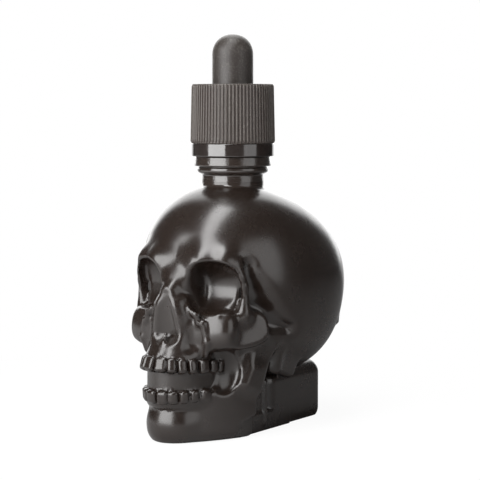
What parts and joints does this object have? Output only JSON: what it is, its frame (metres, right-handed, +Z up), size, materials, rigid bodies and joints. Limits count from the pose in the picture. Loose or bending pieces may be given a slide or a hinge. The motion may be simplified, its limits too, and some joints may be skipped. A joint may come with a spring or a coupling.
{
  "type": "dropper bottle",
  "caption": "Skull-shaped glass bottle with a ribbed screw collar, a tamper band, a rubber squeeze bulb and a glass pipette.",
  "frame": {"origin": "on the neck's axis, on the plane that the bottle stands on", "axes": "+Z up along the neck and the pipette, the face looks towards -Y, +X is the skull's left side"},
  "size_m": [0.0508, 0.0771, 0.1065],
  "materials": {
    "coated_glass": "satin black coat over the outside, glossy black at the neck rings",
    "gloss_plastic": "gloss",
    "satin_plastic": "satin",
    "black_rubber": "matt",
    "clear_glass": "clear, polished"
  },
  "bodies": {
    "bottle": {"skull_bottle": "coated_glass"},
    "band": {"tamper_band": "gloss_plastic"},
    "dropper": {"rubber_bulb": "black_rubber", "glass_pipette": "clear_glass"},
    "collar": {"screw_collar": "satin_plastic"}
  },
  "joints": [
    {"name": "band_turn", "type": "hinge", "parent": "bottle", "child": "band", "pos_m": [0, 0, 0.0754], "axis": [0, 0, 1], "continuous": true},
    {"name": "dropper_lift", "type": "slide", "parent": "bottle", "child": "dropper", "axis": [0, 0, 1], "range_m": [0, 0.0841]},
    {"name": "collar_turn", "type": "hinge", "parent": "dropper", "child": "collar", "pos_m": [0, 0, 0.0852], "axis": [0, 0, 1], "range_deg": [0, 10080]}
  ],
  "couplings": [
    {"joint": "dropper_lift", "follows": "collar_turn", "m_per_rad": 0.00047746}
  ]
}
